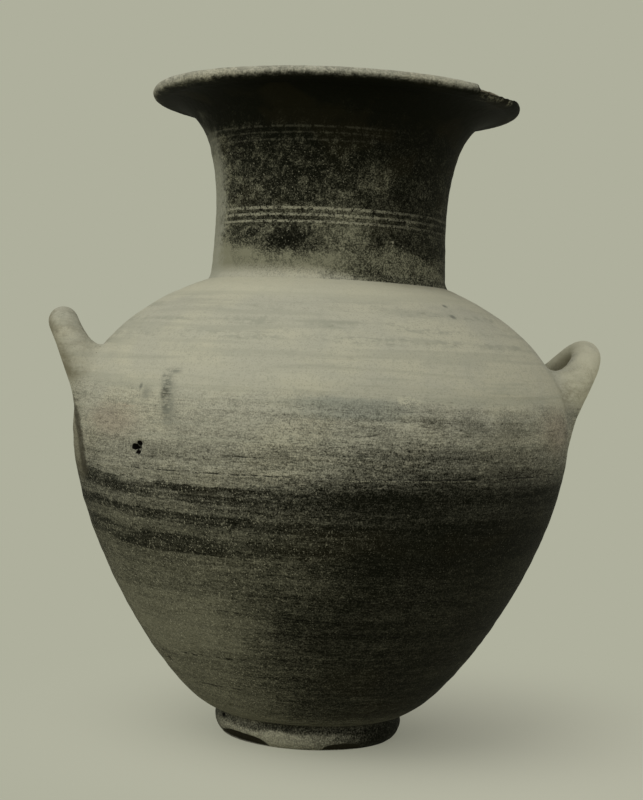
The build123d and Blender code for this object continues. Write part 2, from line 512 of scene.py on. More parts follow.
def broken_lip(points, true, normal, cover):
    """Lowers the lip to its fracture: a floor that falls outward and gets shallower towards its
    end, shell-shaped bites in it and a leaning inner wall, all roughened by noise. Marks what is
    broken."""
    bearing = bearing_of(true)
    radius = np.hypot(true[..., 0], true[..., 1])
    start = LIP_EDGE_RADIUS - CHIP_WIDTH + CHIP_WANDER * lattice_noise(true, (16, 16, 16), 11)
    across = (radius - start) / CHIP_WALL_LEAN
    fray = CHIP_FRAY * lattice_noise(true, (7, 7, 7), 15)
    begun = (bearing - CHIP_START + fray) / CHIP_START_RUN
    ended = (CHIP_END - bearing) / CHIP_END_RUN
    share = np.clip(np.minimum(np.minimum(across, begun), ended), 0, 1)
    bites = np.abs(lattice_noise(true, (19, 19, 40), 12))
    rough = CHIP_GRIT * lattice_noise(true, (2.4, 2.4, 3), 13)
    rough += CHIP_LUMP * lattice_noise(true, (5, 5, 5), 14)
    fall = CHIP_FALL * np.clip((radius - start) / CHIP_WIDTH, 0, 1)
    shallow = smooth_step(bearing, CHIP_SHALLOW_FROM, CHIP_SHALLOW_TO)
    depth = (CHIP_DEPTH + fall) * (1 - CHIP_SHALLOWING * shallow)
    bites *= CHIP_BITE * (1 - BITE_SHALLOWING * shallow)
    floor = JAR_HEIGHT - share * (depth + bites + rough)
    floor = np.where(share > 0, floor, JAR_HEIGHT + 1)
    broken = (points[..., 2] > floor) & (cover == 1)
    points[..., 2] = np.where(broken, floor, points[..., 2])
    return points, [("broken", broken.astype(float))]


# The first pits make one ragged hole, whose lobes of painted shade are these, by bearing and height
LOBED_PITS = 3
PIT_LOBES = ((-50.4, 270.3), (-48.9, 273.2), (-48.7, 270.0), (-49.3, 266.8), (-49.6, 269.6))

# Flakes off the foot's ground edge: bearing, half width in degrees, height and depth
FOOT_FLAKES = (
    (-55.0, 24.0, 9.0, 4.6),
    (16.0, 15.0, 6.5, 3.4),
    (58.0, 6.0, 3.5, 2.2),
    (104.0, 12.0, 4.0, 2.6),
    (168.0, 9.0, 4.5, 2.8),
    (-128.0, 14.0, 4.0, 2.4),
)
FLAKE_FRAY = 2.5
FLAKE_EDGE = 6.0


def flaked_foot(points, true, normal, cover):
    """Cuts each flake as a shallow shell: its depth times the root of
    1 - (bearing share)^2 - (height share)^2, and marks it as broken."""
    bearing = bearing_of(true)
    flaked = np.zeros(bearing.shape)
    for middle, half, height, depth in FOOT_FLAKES:
        aside = (bearing - middle + 180) % 360 - 180
        aside = aside + FLAKE_FRAY * lattice_noise(true, (7, 7, 7), 21)
        bowl = 1 - (aside / half) ** 2 - (true[..., 2] / height) ** 2
        bowl = np.clip(bowl, 0, 1) * (cover == 1)
        points -= normal * np.array([1, 1, 0]) * (depth * np.sqrt(bowl))[..., None]
        flaked = np.maximum(flaked, np.clip(bowl * FLAKE_EDGE, 0, 1))
    return points, [("broken", flaked)]


class Wire:
    """An output of a shader node. Arithmetic on it adds Math nodes."""

    def __init__(self, socket):
        self.socket = socket

    def node(self, kind, settings, values, output=0):
        """Adds a node: its settings first, a ramp's stops among them, then the value or link of
        each socket, and gives one of its outputs."""
        tree = self.socket.id_data
        made = tree.nodes.new(kind)
        for setting, value in settings.items():
            if setting == "stops":
                ramp = made.color_ramp
                while len(ramp.elements) < len(value):
                    ramp.elements.new(0.5)
                for element, (position, tone) in zip(ramp.elements, value):
                    element.position = position
                    element.color = (tone, tone, tone, 1)
            else:
                setattr(made, setting, value)
        for key, value in values.items():
            if isinstance(value, Wire):
                tree.links.new(value.socket, made.inputs[key])
            else:
                made.inputs[key].default_value = value
        return Wire(made.outputs[output])

    def math(self, operation, *values, **settings):
        settings["operation"] = operation
        return self.node("ShaderNodeMath", settings, dict(enumerate(values)))

    def vector(self, operation, *values, output=0):
        settings = {"operation": operation}
        return self.node("ShaderNodeVectorMath", settings, dict(enumerate((self, *values))), output)

    def __add__(self, other):
        return self.math("ADD", self, other)

    def __radd__(self, other):
        return self.math("ADD", other, self)

    def __sub__(self, other):
        return self.math("SUBTRACT", self, other)

    def __rsub__(self, other):
        return self.math("SUBTRACT", other, self)

    def __mul__(self, other):
        return self.math("MULTIPLY", self, other)

    def __rmul__(self, other):
        return self.math("MULTIPLY", other, self)

    def __truediv__(self, other):
        return self.math("DIVIDE", self, other)

    def __or__(self, other):
        return self.math("MAXIMUM", self, other)

    def root(self):
        return self.math("SQRT", self)

    def size(self):
        return self.math("ABSOLUTE", self)

    def clipped(self):
        return self.math("ADD", self, 0.0, use_clamp=True)

    def step(self, low, high):
        """0 at low and 1 at high, smooth between; low may be the greater."""
        values = {"Value": self, "From Min": low, "From Max": high}
        return self.node("ShaderNodeMapRange", {"interpolation_type": "SMOOTHSTEP"}, values)

    def band(self, low, high, soft):
        """1 from low to high, fading over soft at both."""
        return self.step(low - soft, low + soft) * self.step(high + soft, high - soft)

    def noise(self, size, stretch=(1, 1, 1), detail=2.0, rough=0.5):
        """Noise about 0.5 with blotches about size across, drawn out by stretch along each axis."""
        scaled = self.vector("MULTIPLY", tuple(1 / (size * side) for side in stretch))
        values = {"Vector": scaled, "Scale": 1.0, "Detail": detail, "Roughness": rough}
        return self.node("ShaderNodeTexNoise", {"noise_dimensions": "3D"}, values)

    def ramp(self, *stops):
        """A share by height, straight between stops of (height, share)."""
        low, high = stops[0][0], stops[-1][0]
        stops = [((height - low) / (high - low), share) for height, share in stops]
        place = (self - low) / (high - low)
        return self.node("ShaderNodeValToRGB", {"stops": stops}, {0: place})

    def spot(self, centre, radii, soft=0.5):
        """1 inside an ellipsoid about a point and 0 outside, fading over the soft share."""
        away = self.vector("SUBTRACT", tuple(centre)).vector("DIVIDE", tuple(radii))
        return away.vector("LENGTH", output=1).step(1.0, 1.0 - soft)

    def spots(self, places):
        """The greatest of several spots: each a centre, its radii, soft share and strength."""
        return greatest(self.spot(*place) * strength for *place, strength in places)

    def over(self, under, tone):
        """This wire as the coverage of a tone laid over what lies under it."""
        values = {0: self.clipped(), 6: under, 7: tone}
        return self.node("ShaderNodeMix", {"data_type": "RGBA"}, values, 2)

    def mark(self, name):
        """A number kept at the mesh's points."""
        return self.node("ShaderNodeAttribute", {"attribute_name": name}, {}, 2)


def greatest(wires):
    """The greatest of several wires at each point."""
    return reduce(or_, wires)


def tone(red, green, blue):
    """A colour as it looks on a screen, from 0 to 255, in the linear shares that a shader takes."""
    shares = [value / 255 for value in (red, green, blue)]
    return (*[s / 12.92 if s < 0.04045 else ((s + 0.055) / 1.055) ** 2.4 for s in shares], 1)


PALE_CLAY = tone(163, 161, 142)
CREAM_CLAY = tone(170, 167, 145)
GREY_CLAY = tone(146, 146, 128)
CRUST = tone(184, 181, 156)
STAINED_CLAY = tone(142, 127, 108)
# A dark tone for grime from handling, also laid as painted shade inside the loops, on the left
# loop's outer side and under the neck
GRIME_AND_SHADE = tone(112, 108, 88)
GREY_WASH = tone(104, 106, 94)
BLUE_WASH = tone(122, 127, 116)
# The slip's tone is kept very dark, partly as painted shade under the lip
SLIP = tone(13, 14, 6)
BROWN_SLIP = tone(25, 23, 11)
NECK_FILM = tone(122, 121, 100)
BELLY_FILM = tone(112, 111, 93)
FOOT_FILM = tone(174, 172, 148)
SCUFF = tone(150, 148, 126)
# Black laid as painted shade in the pits, also the dark of the scored lines and of hollows in the
# break
PIT_SHADE_BLACK = tone(9, 8, 5)
FRACTURE = tone(46, 43, 31)
TAIL = tone(55, 52, 40)
# The colour of the foot's flakes is painted shade: they hang over and lie in shadow
FLAKE_SHADE = tone(44, 42, 30)
BROKEN_CLAY = tone(104, 96, 76)
GLOSS = 0.04
SLIP_ROUGHNESS = 0.68
CLAY_ROUGHER = 0.24
WEAR_POWER = 2.2

# The noises that a finish is broken up by: size of the blotches, stretch, detail and roughness
BODY_NOISES = {
    "specks": (1.3, (1, 1.4, 1), 2.0, 0.7),
    "dashes": (1.4, (6, 6, 1), 2.0, 0.6),
    "crumbs": (4.5, (1.7, 1.7, 1), 3.0, 0.7),
    "patches": (17, (2, 2, 1), 3.0, 0.6),
    "streaks": (4.5, (22, 22, 1), 3.0, 0.6),
    "rings": (9, (30, 30, 1), 2.0, 0.6),
    "broad": (60, (1.5, 1.5, 0.8), 2.0, 0.5),
}
NECK_NOISES = {
    "specks": (1.3, (1, 1.4, 1), 2.0, 0.7),
    "crumbs": (3.6, (1, 1.7, 1), 3.0, 0.7),
    "patches": (15, (1, 1.6, 1), 3.0, 0.6),
    "broad": (36, (1.3, 1.3, 1), 2.0, 0.5),
}
FOOT_NOISES = {
    "specks": (1.5, (1, 1, 1), 1.0, 0.7),
    "crumbs": (4.5, (1, 1, 1), 3.0, 0.7),
    "waves": (10, (2, 2, 1), 3.0, 0.5),
}


class Finish:
    """A material under way, with its noises and the place on the jar in millimetres."""

    def __init__(self, name, noises):
        self.material = bpy.data.materials.new(name)
        self.material.use_nodes = True
        tree = self.material.node_tree
        self.shader = tree.nodes["Principled BSDF"]
        place = Wire(tree.nodes.new("ShaderNodeTexCoord").outputs["Object"])
        self.place = place.vector("MULTIPLY", (1 / MM,) * 3)
        self.x, self.y, self.z = [
            place.node("ShaderNodeSeparateXYZ", {}, {0: self.place}, axis) for axis in range(3)
        ]
        self.radius = (self.x * self.x + self.y * self.y).root() | 1.0
        self.leftness = self.x / self.radius * -1.0
        self.frontness = self.y / self.radius * -1.0
        self.bearing = place.math("ARCTAN2", self.x, self.y * -1.0) * (180 / pi)
        self.outside = 1.0 - place.mark("inside")
        for noise, settings in noises.items():
            setattr(self, noise, self.place.noise(*settings))

    def close(self, colour, bare, height):
        """Joins the layers to the shader: colour, share of bare clay, and height in millimetres."""
        values = {"Strength": 1.0, "Distance": MM, "Height": height}
        normal = height.node("ShaderNodeBump", {}, values)
        roughness = SLIP_ROUGHNESS + bare * CLAY_ROUGHER
        for layer, socket in ((colour, "Base Color"), (roughness, "Roughness"), (normal, "Normal")):
            self.material.node_tree.links.new(layer.socket, self.shader.inputs[socket])
        self.shader.inputs["Specular IOR Level"].default_value = GLOSS
        return self.material


def fired_clay(finish):
    """Pale clay with slow clouds, fine grain and dark grit: gives its colour and its height."""
    place = finish.place
    clouds = place.noise(70, (1, 1, 0.6), 3.0)
    streaks = place.noise(6, (18, 18, 1), 3.0)
    grain = place.noise(1.4)
    mottle = place.noise(6, detail=4.0, rough=0.65)
    colour = clouds.step(0.42, 0.62).over(PALE_CLAY, CREAM_CLAY)
    colour = (streaks.step(0.53, 0.7) * 0.5).over(colour, GREY_CLAY)
    colour = (grain.step(0.52, 0.68) * 0.7).over(colour, GREY_CLAY)
    colour = (mottle.step(0.54, 0.62) * 0.3).over(colour, GREY_CLAY)
    return colour, grain * 0.15 + streaks * 0.25


def worn_through(worn, grit):
    """Share of clay that shows. Wear w is how worn a place looks; grit about 0 is added to it,
    times the root of w (1 - w), and a power turns that look into a share of light."""
    open_to_grit = (worn * (1.0 - worn) | 0.0).root()
    return worn.math("POWER", (worn + grit * open_to_grit).clipped(), WEAR_POWER)


# Painted bands of dark slip on the belly, lowest and highest edge of each
DARK_BANDS = ((184.5, 199.0), (209.0, 218.0), (227.5, 243.5))

# Faint bands on the shoulder, with how softly each fades
FAINT_BANDS = ((392.5, 397.5, 1.5), (378.5, 385.5, 2.0), (366.0, 373.0, 2.0))

# Bare lines turned through the slip round the neck, and fainter ones under the lip
BARE_LINES = ((471.6, 473.6), (477.5, 479.7), (483.3, 485.7))
FAINT_LINES = ((543.2, 544.6), (549.2, 550.6), (554.4, 556.0))

# Scored lines: first and last bearing, height in the middle, rise for each degree, half width
SCORED_LINES = (
    (-56, 60, 255.9, 0.06, 0.6),
    (-36, 2, 133.5, -0.12, 0.7),
    (-8, 32, 151.0, -0.05, 0.6),
    (-58, -24, 89.0, 0.1, 1.2),
    (-56, -30, 59.0, 0.05, 1.3),
    (-30, -14, 269.0, 0.0, 0.6),
    (-4, 28, 119.0, -0.2, 0.5),
)
LIT_EDGE = (-52, 56, 254.3, 0.06, 0.7)

# Places of their own look: centre, half sizes, soft share and strength
STAINED = (
    (wall_point(-59, 291), (60, 60, 22), 0.8, 1.0),
    (wall_point(58, 296), (62, 62, 30), 0.8, 1.0),
)
SMUDGED = (
    (wall_point(-42.4, 336.0), (13, 13, 4.5), 0.9, 0.8),
    (wall_point(-48.4, 315.6), (10, 10, 10), 1.0, 0.7),
    (wall_point(-50.6, 322.0), (3, 3, 6), 0.8, 1.0),
)
DRIPPED = (
    (wall_point(32.7, 394.3), (5, 5, 5), 0.7, 0.8),
    (wall_point(34.3, 404.0), (4, 4, 4), 0.7, 0.8),
)
SOILED = (
    ((218, -68, 327), (30, 36, 22), 0.9, 1.0),
    ((240, -30, 330), (30, 34, 24), 0.9, 0.7),
)
SCUFFED = (
    (on_jar(32.2, NECK_WAIST, 475.4), (6, 6, 4), 0.6, 1.0),
    (on_jar(22.5, NECK_WAIST, 457.6), (3, 3, 3), 0.6, 1.0),
    (on_jar(28.0, NECK_WAIST, 455.0), (3, 3, 2), 0.6, 1.0),
    (on_jar(44.0, LIP_EDGE_RADIUS, 590), (20, 20, 9), 0.9, 0.6),
    (on_jar(57.5, 173, 590.8), (8, 8, 4), 0.8, 1.0),
    (on_jar(50.0, 172.5, 590.5), (9, 9, 4), 0.8, 0.7),
)

# More and less worn places on the neck: bearing, height, half sizes and how much
NECK_PLACES = (
    (-2, 470, (42, 44, 50), 0.26),
    (2, 465, (22, 22, 9), 0.14),
    (-52, 447, (24, 28, 10), 0.12),
    (14, 513, (26, 26, 28), 0.22),
    (-27, 456, (34, 34, 17), -0.26),
    (15, 445, (28, 28, 20), 0.16),
)

# How worn the slip looks by height, from 0, whole, to 1, bare: on the jar's worn left, and on
# its sound right. On the belly the values rise just above the foot, painted light against the
# shade where the body meets the foot.
BELLY_WORN = (
    (20, 1.0), (30, 0.92), (44, 0.84), (60, 0.84), (80, 0.8), (100, 0.93), (120, 0.9), (140, 0.79),
    (160, 0.73), (200, 0.66), (226, 0.63), (241, 0.63), (247, 0.77), (256, 0.8), (268, 0.79),
    (280, 0.87), (290, 0.93), (300, 0.92), (312, 0.94), (324, 1.0),
)
BELLY_SOUND = (
    (20, 0.95), (30, 0.6), (42, 0.3), (120, 0.26), (175, 0.24), (190, 0.16), (209, 0.15),
    (222, 0.2), (243, 0.2), (250, 0.32), (258, 0.4), (268, 0.52), (278, 0.6), (284, 0.68),
    (292, 0.79), (304, 0.79), (312, 0.88), (320, 0.97), (326, 1.0),
)
# The neck's values fall to whole slip towards the lip: the slip there, and painted shade under the
# lip
NECK_WORN = (
    (424, 1.0), (436, 0.94), (444, 0.86), (450, 0.62), (457, 0.47), (490, 0.42), (515, 0.34),
    (530, 0.28), (545, 0.19), (556, 0.11), (566, 0.03), (600, 0.02),
)
NECK_SOUND = (
    (424, 0.62), (428, 0.46), (435, 0.5), (444, 0.42), (455, 0.29), (465, 0.31), (490, 0.24),
    (515, 0.22), (530, 0.14), (555, 0.08), (566, 0.03), (600, 0.02),
)


def shoulder_layers(finish, colour):
    """Rings, faint bands, a paler top, painted shade under the neck on the right and a bluish wash.
    """
    z, outside, crumbs, level = finish.z, finish.outside, finish.crumbs, finish.level
    faint = greatest(level.band(*band) for band in FAINT_BANDS) * finish.broad.step(0.38, 0.55)
    faint = faint * (finish.streaks * 0.5 + crumbs * 0.5).step(0.45, 0.57)
    colour = (finish.rings.step(0.54, 0.66) * 0.4 * outside).over(colour, GREY_CLAY)
    colour = (faint * 0.9).over(colour, GREY_CLAY)
    colour = (faint * finish.dashes.step(0.6, 0.68) * 0.35).over(colour, GRIME_AND_SHADE)
    colour = (z.step(398.0, 412.0) * 0.5 * outside).over(colour, CRUST)
    # Painted shade along the top of the shoulder just under the neck, on the right side
    shade_under_neck = (z + (crumbs - 0.5) * 3.0).step(415.5, 423.0) * finish.leftness.step(-0.1, -0.5)
    colour = (shade_under_neck * 0.4 * outside).over(colour, GRIME_AND_SHADE)
    wash = finish.place.spot(wall_point(-2, 312), (75, 75, 22), 0.7) * level.band(303.0, 321.0, 2.0)
    return (wash * 0.5).over(colour, BLUE_WASH)


def body_wear(finish):
    """How much clay shows through the body's slip, less at the left limb as painted shade and more
    just above the foot as painted light, and how worn it is from right to left.
    """
    place, z, left, level = finish.place, finish.z, finish.leftness, finish.level
    patches, streaks = finish.patches, finish.streaks
    spread = z.step(145.0, 165.0) * 0.1 + z.step(236.0, 252.0) * 0.22
    worn = (left + spread + (finish.broad - 0.5) * 0.45).step(-0.1, 0.75)
    # Painted shade at the left limb, strongest at its very edge
    limb_shade = left.step(0.84, 0.95) * z.band(205.0, 262.0, 8.0) * 0.16 + left.step(0.96, 0.995) * 0.12
    limb_shade = limb_shade * z.step(330.0, 310.0)
    lifted = level - left.step(0.86, 0.95) * 5.0
    bands = greatest(lifted.band(low, high, 0.8) for low, high in DARK_BANDS)
    bands = bands * (patches * 0.5 + streaks * 0.5).step(0.72, 0.44)
    left_look = lifted.ramp(*BELLY_WORN) * (1.0 - bands * 0.44 - limb_shade)
    right_look = level.ramp(*BELLY_SOUND)
    right_look = right_look + left.step(-0.6, -0.85) * z.band(252.0, 286.0, 8.0) * 0.12
    look = (right_look + (left_look - right_look) * worn) | (1.0 - finish.outside)
    grit = (finish.specks - 0.5) * 2.7 + (finish.dashes - 0.5) * 1.0 + (finish.crumbs - 0.5) * 0.9
    grit = grit + (patches - 0.5) * 0.6 + (streaks - 0.5) * 0.7 + (finish.rings - 0.5) * 0.9
    grit = grit - place.noise(1.8, (1.5, 1.5, 1), 1.0).step(0.38, 0.32) * 0.4
    scratches = place.noise(1.1, (8, 8, 1), 1.0)
    grit = grit - scratches.step(0.6, 0.68) * 0.35 + scratches.step(0.36, 0.3) * 0.3
    grit = grit * (0.78 + worn * 0.14 + finish.frontness.step(0.84, 1.0) * 0.24)
    grit = grit + (patches - 0.5) * z.band(286.0, 312.0, 8.0) * left.step(0.3, -0.2)
    return worn_through(look, grit), worn


def marks_of_use(finish, colour):
    """The smudge with its dark core, two drips, a crusted patch, the painted tail below the left
    handle and the grime beside it."""
    place, z, outside, bearing = finish.place, finish.z, finish.outside, finish.bearing
    specks, crumbs = finish.specks, finish.crumbs
    stroke = bearing + 42.6 + (z - 299.0) * 0.074 + (crumbs - 0.5) * 1.6
    smudge = stroke.step(-0.7, 0.6) * stroke.step(4.8, 1.2) * z.step(280.0, 304.0)
    smudge = smudge * z.step(338.0, 328.0) | place.spots(SMUDGED)
    torn = (crumbs * 0.4 + specks * 0.2 + finish.dashes * 0.4).step(0.41, 0.55)
    smudge = smudge * (0.2 + torn * 0.8)
    colour = (smudge * 0.9 * outside).over(colour, GREY_WASH)
    core = place.spot(wall_point(-43.1, 314.0), (9, 9, 18), 0.9) * crumbs.step(0.36, 0.54)
    colour = (core * smudge * 0.72 * outside).over(colour, TAIL)
    colour = place.spots(DRIPPED).over(colour, GREY_WASH)
    crust = place.spot(wall_point(10, 320), (16, 16, 6), 0.8) * (specks + crumbs).step(0.98, 1.1)
    colour = (crust * 0.7 * outside).over(colour, CRUST)
    rise = (z - 243.0) | 0.0
    course = bearing + 74.5 + rise * rise * 0.0016 + (finish.streaks - 0.5) * 4.0
    grime = course.step(1.0, -2.0) * course.step(-34.0, -16.0) * z.band(236.0, 326.0, 10.0)
    colour = (grime * (0.25 + crumbs * 0.5) * outside).over(colour, GRIME_AND_SHADE)
    tail = course.size().step(3.6, 1.2) * z.step(236.0, 242.0) * z.step(322.0, 292.0)
    return (tail * (0.35 + crumbs * 0.9) * outside).over(colour, TAIL)


def groove(finish, first, last, height, rise, width):
    """A scored line from one bearing to another; its height changes by rise for each degree."""
    course = finish.z - height - (finish.bearing - (first + last) / 2) * rise
    course = course + (finish.place.noise(30) - 0.5) * 1.2
    return course.size().step(width, width * 0.4) * finish.bearing.band(first + 3, last - 3, 3)


def holes_and_lines(finish, colour):
    """Pits darkened with painted shade and dark scored lines, one of them with a painted highlight
    on its lit edge: gives the colour, and how much of a pit and of a line there is."""
    place, outside, specks = finish.place, finish.outside, finish.specks
    ragged = (finish.crumbs + specks - 1.0) * 0.6
    holes = []
    for bearing, height in PIT_LOBES:
        lobe = place.spot(on_jar(bearing, BELLY_RADIUS - 3.0, height), (5.4, 5.4, 4.6), 1.0)
        holes.append((lobe + ragged * lobe.step(0.0, 0.2)).step(0.34, 0.42))
    for bearing, height, width, _ in PITS[LOBED_PITS:]:
        holes.append(place.spot(wall_point(bearing, height), (width * 0.9,) * 3))
    holes = greatest(holes)
    colour = holes.over(colour, PIT_SHADE_BLACK)
    torn = place.noise(3.4, (2, 2, 1), 2.0, 0.7).step(0.44, 0.54) * outside
    gaps = place.noise(9, (3, 3, 1))
    lines = greatest(groove(finish, *line) for line in SCORED_LINES) * torn * gaps.step(0.36, 0.5)
    colour = (lines * 0.8).over(colour, PIT_SHADE_BLACK)
    edge = groove(finish, *LIT_EDGE) * torn * gaps.step(0.4, 0.5) * specks.step(0.4, 0.58)
    colour = (edge * (0.2 + finish.bearing.step(24.0, 4.0) * 0.5)).over(colour, SCUFF)
    return colour, holes, lines


def handle_layers(finish, colour, worn):
    """Grime on the left loop, painted shade on its outer lower side, crust and blots on the cleaner
    right one, which is partly painted light, painted shade inside both, and the soiled shoulder in
    front of the right one."""
    place, z, crumbs, patches = finish.place, finish.z, finish.crumbs, finish.patches
    side = finish.x.size()
    loop = side.step(206.0, 226.0) * z.step(316.0, 330.0)
    # Painted shade on the outer, lower side of the left loop, laid with its grime
    outer = (side * 0.9 - z * 0.43 + (patches - 0.5) * 14.0).step(60.0, 74.0)
    blots = (patches * 0.5 + crumbs * 0.5).step(0.44, 0.62)
    colour = (loop * worn * (0.14 + outer * 0.5 + blots * 0.3)).over(colour, GRIME_AND_SHADE)
    # The right loop is paler: crust on clean clay, partly painted light on its lit front
    clean_and_lit = loop * (1.0 - worn)
    colour = (clean_and_lit * place.noise(30).step(0.3, 0.5) * 0.8).over(colour, CRUST)
    blots = blots * (0.1 + finish.specks.step(0.5, 0.6) * 0.25)
    colour = (clean_and_lit * blots * (0.5 + z.step(372.0, 346.0) * 0.9)).over(colour, GRIME_AND_SHADE)
    # Painted shade inside each loop, together with grime from handling
    reach, span = (side * 0.49 + z * 0.87 - 395.0) / 50.0, finish.y / ARM_HALF_SPAN
    inner = (reach * reach + span * span).step(0.85, 0.5) * loop
    colour = (inner * 0.65).over(colour, GRIME_AND_SHADE)
    soiled = place.spots(SOILED) * (0.3 + (crumbs * 0.5 + patches * 0.5).step(0.42, 0.56) * 0.7)
    return (soiled * 0.55).over(colour, GRIME_AND_SHADE)


def body_finish():
    """Pale shoulder with faint bands, a speckled wash on the belly, dark bands and worn slip."""
    finish = Finish("body_clay_and_slip", BODY_NOISES)
    place, z, outside = finish.place, finish.z, finish.outside
    crumbs, broad = finish.crumbs, finish.broad
    finish.level = z + (crumbs - 0.5) * 6.0 + (broad - 0.5) * 10.0
    colour, height = fired_clay(finish)
    colour = shoulder_layers(finish, colour)
    bare, worn = body_wear(finish)
    colour = (z.step(264.0, 190.0) * outside).over(colour, BELLY_FILM)
    streaky = place.spot(wall_point(-57, 304), (50, 50, 4), 0.8) * finish.dashes.step(0.44, 0.56)
    colour = ((place.spots(STAINED) | streaky) * 0.45 * outside).over(colour, STAINED_CLAY)
    slip = (broad.step(0.52, 0.68) * 0.5).over(SLIP, BROWN_SLIP)
    colour = (1.0 - bare).over(colour, slip)
    flecks = place.noise(1.7, (1.1, 1.1, 1.8), 1.0).step(0.63, 0.71) * z.step(300.0, 250.0)
    colour = (flecks * outside * (0.05 + worn * 0.45)).over(colour, SCUFF)
    sparks = place.noise(1.2, detail=0.0).step(0.74, 0.8) * z.step(334.0, 300.0)
    colour = (sparks * outside * (0.1 + worn * 0.4)).over(colour, CRUST)
    colour = marks_of_use(finish, colour)
    colour, holes, lines = holes_and_lines(finish, colour)
    colour = handle_layers(finish, colour, worn)
    height = height + finish.specks * 0.3 + crumbs * 0.35 + finish.streaks * 0.5
    return finish.close(colour, bare, height - lines * 0.7 - holes * 0.6)


def neck_wear(finish):
    """How much clay shows through the neck's slip, and how worn it is from right to left. The
    lip's edge is rubbed pale, apart from the outer part of it along the old break."""
    place, z, left, bearing = finish.place, finish.z, finish.leftness, finish.bearing
    crumbs, patches = finish.crumbs, finish.patches
    level = z + (crumbs - 0.5) * 9.0 + (patches - 0.5) * 14.0
    worn = (left + (finish.broad - 0.5) * 0.7).step(-0.45, 0.35)
    left_look = (level - left.step(0.55, 0.8) * 6.0 + 2.0).ramp(*NECK_WORN)
    right_look = level.ramp(*NECK_SOUND)
    look = right_look + (left_look - right_look) * worn
    for around, height, radii, more in NECK_PLACES:
        look = look + place.spot(on_jar(around, NECK_WAIST, height), radii, 0.8) * more
    look = look + left.step(0.84, 0.95) * z.step(566.0, 535.0) * 0.22
    wedge = (z + bearing * 0.55 + (crumbs - 0.5) * 4.0).step(471.0, 468.0)
    look = look + wedge * left.step(-0.2, -0.42) * z.step(427.0, 429.0) * 0.22
    islands = place.noise(9, (1.1, 2, 0.9), 4.0, 0.62).step(0.5, 0.58) - 0.45
    coarse = (patches - 0.5) * 1.5 + islands * (0.15 + worn * 0.4)
    grit = (finish.specks - 0.5) * 3.9 + (crumbs - 0.5) * 2.2
    grit = grit + coarse * (0.6 + z.step(430.0, 450.0) * 0.4)
    grit = grit * (1.0 - z.step(572.0, 584.0) * 0.45 + z.step(464.0, 444.0) * 0.2)
    edge = (level * 0.12 + z * 0.88 + left.step(0.3, 0.95) * 2.5).step(588.5, 595.5)
    chipped = (bearing + (crumbs - 0.5) * 3.0).step(CHIP_START - 1.0, CHIP_START + 1.0)
    chipped = chipped * (bearing + (patches - 0.5) * 24.0).step(CHIP_END + 16.0, CHIP_END - 3.0)
    chipped = chipped * finish.radius.step(164.5, 167.5)
    look = look | edge * 0.86 * (1.0 - chipped) | (1.0 - finish.outside)
    return worn_through(look, grit), worn


def neck_finish():
    """Dark slip worn to speckles, three bare lines round the neck, a pale lip and its break."""
    finish = Finish("neck_slip", NECK_NOISES)
    place, z, left, outside = finish.place, finish.z, finish.leftness, finish.outside
    specks, crumbs, patches = finish.specks, finish.crumbs, finish.patches
    broken = place.mark("broken")
    colour, height = fired_clay(finish)
    bare, worn = neck_wear(finish)
    film = (z + (1.0 - worn) * 14.0).step(424.0, 437.0) * z.step(592.0, 580.0)
    colour = (film * outside).over(colour, NECK_FILM)
    slip = (finish.broad.step(0.52, 0.64) * 0.6).over(SLIP, BROWN_SLIP)
    colour = (1.0 - bare).over(colour, slip)
    strip = (left + (crumbs - 0.5) * 0.06 + (patches - 0.5) * 0.08).step(0.93, 0.975)
    strip = strip * (z + (patches - 0.5) * 60.0).step(576.0, 510.0) * outside
    colour = (strip * (0.45 + crumbs * 0.5)).over(colour, GREY_CLAY)
    flecks = place.noise(1.7, detail=1.0).step(0.67, 0.72) * z.step(560.0, 515.0) * outside
    colour = (flecks * (0.12 + worn * 0.35)).over(colour, SCUFF)

    fringe = z + (crumbs - 0.5) * 1.6
    mixed = crumbs * 0.5 + specks * 0.5
    lines = greatest(fringe.band(low, high, 0.5) for low, high in BARE_LINES)
    lines = lines * mixed.step(0.4, 0.54) * left.step(0.97, 0.9)
    lines = lines * (0.15 + left.step(-0.75, 0.1) * 0.6)
    faint = greatest(z.band(low, high, 0.6) for low, high in FAINT_LINES)
    faint = faint * crumbs.step(0.4, 0.56) * left.step(-0.6, 0.3)
    colour = (lines * outside).over(colour, SCUFF)
    colour = (faint * 0.1 * outside).over(colour, SCUFF)
    colour = (place.spots(SCUFFED) * mixed.step(0.47, 0.58) * 0.7).over(colour, SCUFF)

    chunks = place.noise(2.6, detail=3.0, rough=0.7)
    colour = broken.over(colour, FRACTURE)
    colour = (broken * chunks.step(0.52, 0.4) * 0.85).over(colour, PIT_SHADE_BLACK)
    colour = (broken * finish.radius.step(171.5, 166.0) * 0.75).over(colour, BROKEN_CLAY)
    colour = (broken * chunks.step(0.58, 0.68) * 0.7).over(colour, SCUFF)
    height = height + specks * 0.25 + crumbs * 0.35 + lines * 0.12
    return finish.close(colour, bare, height + broken * chunks * 1.2)


